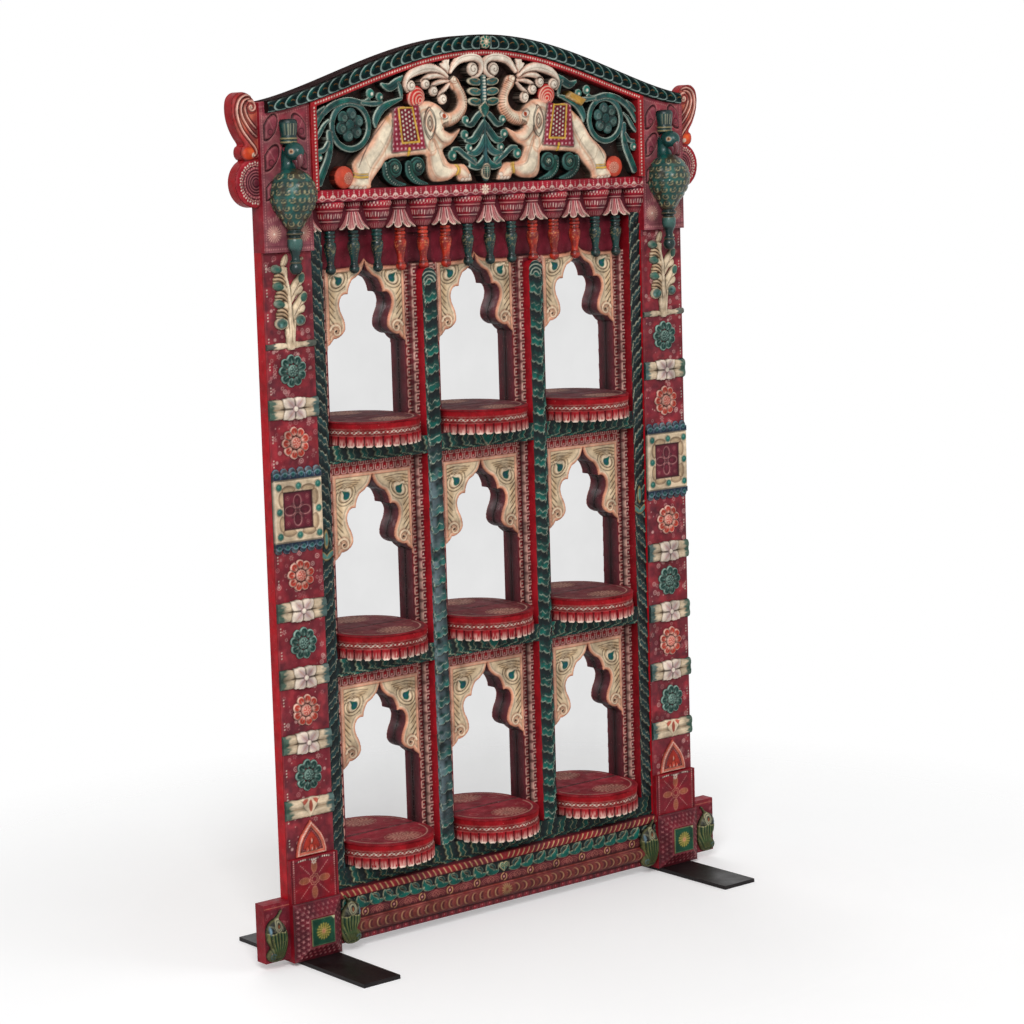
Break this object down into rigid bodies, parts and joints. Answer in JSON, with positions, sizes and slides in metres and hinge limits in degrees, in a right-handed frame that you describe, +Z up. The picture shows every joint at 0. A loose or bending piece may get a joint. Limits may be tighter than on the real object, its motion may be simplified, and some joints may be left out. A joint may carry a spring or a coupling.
{
  "type": "jharokha mirror",
  "caption": "Free-standing carved and painted wooden mirror frame: arched niches with half-round shelves before mirror glass, an arched crown with two elephants, steel feet.",
  "frame": {"origin": "on the floor, in the middle of the two feet: the bottom centre of the bounding box", "axes": "+X to the right along the front, +Y to the back, +Z up"},
  "size_m": [1.21, 0.432, 1.815],
  "materials": {
    "foot_steel": "black paint on flat steel bar",
    "maroon_paint": "aged maroon paint on carved wood",
    "crimson_paint": "aged crimson paint on carved wood",
    "orange_paint": "aged orange-red paint on carved wood",
    "teal_paint": "aged teal paint on carved wood",
    "blue_paint": "aged blue paint on carved wood",
    "cream_paint": "aged cream paint with coloured details",
    "dark_paint": "near-black aged paint",
    "mirror_glass": "silvered plane glass",
    "bare_board": "plain thin board",
    "bare_wood": "plain stained wood"
  },
  "bodies": {
    "root": {"arch_board_bottom_centre": "cream_paint", "arch_board_bottom_left": "cream_paint", "arch_board_bottom_right": "cream_paint", "arch_board_middle_centre": "cream_paint", "arch_board_middle_left": "cream_paint", "arch_board_middle_right": "cream_paint", "arch_board_top_centre": "cream_paint", "arch_board_top_left": "cream_paint", "arch_board_top_right": "cream_paint", "back_battens": "bare_wood", "back_board": "bare_board", "base_panels": "maroon_paint", "base_rail": "crimson_paint", "base_wings": "maroon_paint", "bird_brackets": "teal_paint", "bottom_rail": "bare_wood", "carcass_sides": "bare_wood", "cornice": "teal_paint", "cross_bands": "crimson_paint", "crown_balls": "orange_paint", "crown_board": "dark_paint", "crown_fillet": "crimson_paint", "crown_foliage": "teal_paint", "crown_plume": "teal_paint", "crown_volutes": "cream_paint", "cup_board": "crimson_paint", "elephant_left": "blue_paint", "elephant_right": "blue_paint", "feet": "foot_steel", "frieze_cups": "crimson_paint", "frieze_rail": "crimson_paint", "head_rail": "bare_wood", "inner_strips": "orange_paint", "mango_ornaments": "cream_paint", "mirror_panes": "mirror_glass", "mullions": "orange_paint", "ogee_arches": "orange_paint", "pendants": "teal_paint", "plinth_tiles": "teal_paint", "plinths": "maroon_paint", "post_blocks": "maroon_paint", "rope_moulding": "crimson_paint", "scroll_band": "teal_paint", "shelf_bottom_centre": "crimson_paint", "shelf_bottom_left": "crimson_paint", "shelf_bottom_right": "crimson_paint", "shelf_middle_centre": "crimson_paint", "shelf_middle_left": "crimson_paint", "shelf_middle_right": "crimson_paint", "shelf_top_centre": "crimson_paint", "shelf_top_left": "crimson_paint", "shelf_top_right": "crimson_paint", "side_scrolls": "orange_paint", "sill": "teal_paint", "square_plaques": "cream_paint", "stile_left": "maroon_paint", "stile_right": "maroon_paint", "stile_rosettes": "orange_paint", "transoms": "orange_paint", "tree_reliefs": "cream_paint"}
  },
  "joints": []
}
